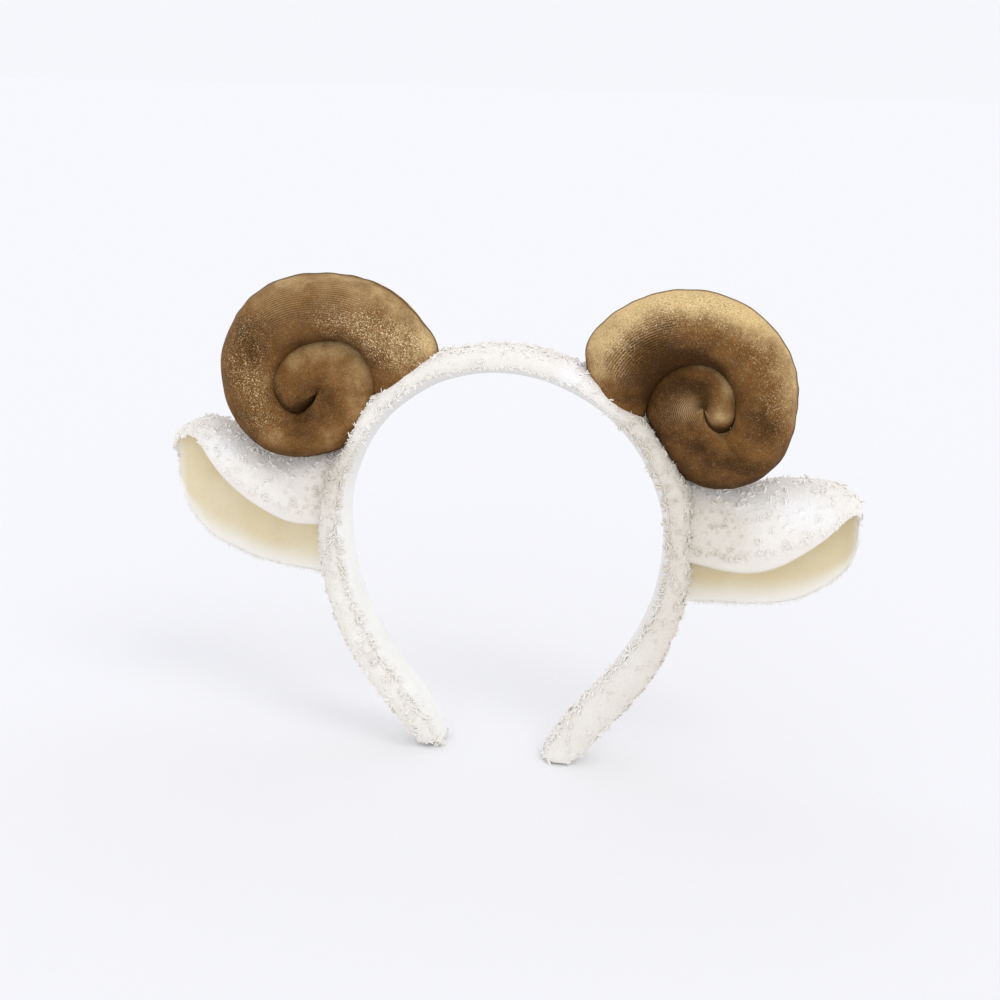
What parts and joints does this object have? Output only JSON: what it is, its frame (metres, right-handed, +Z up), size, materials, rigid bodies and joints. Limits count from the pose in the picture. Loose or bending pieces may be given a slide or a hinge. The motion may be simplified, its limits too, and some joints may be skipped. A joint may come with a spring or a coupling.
{
  "type": "sheep ears headband",
  "caption": "Padded plush costume headband in an open hoop that stands on its tips, with curled stuffed velvet ram horns on its shoulders and folded lamb ears at its sides.",
  "frame": {"origin": "on the floor under the middle of the whole headband, between its two tips", "axes": "+X to the wearer's left as seen from the front, +Y to the back of the head, +Z up from the tips to the crown"},
  "size_m": [0.2724, 0.0276, 0.1929],
  "materials": {
    "plush": "white curly short-pile plush, matt",
    "band_lining": "smooth white brushed knit",
    "velvet": "golden brown crushed velvet with a soft sheen",
    "ear_lining": "smooth pale cream felt"
  },
  "bodies": {
    "root": {"band_cover": "plush", "band_lining": "band_lining", "horn_left": "velvet", "horn_right": "velvet", "ear_left_plush": "plush", "ear_left_lining": "ear_lining", "ear_right_plush": "plush", "ear_right_lining": "ear_lining"}
  },
  "joints": []
}
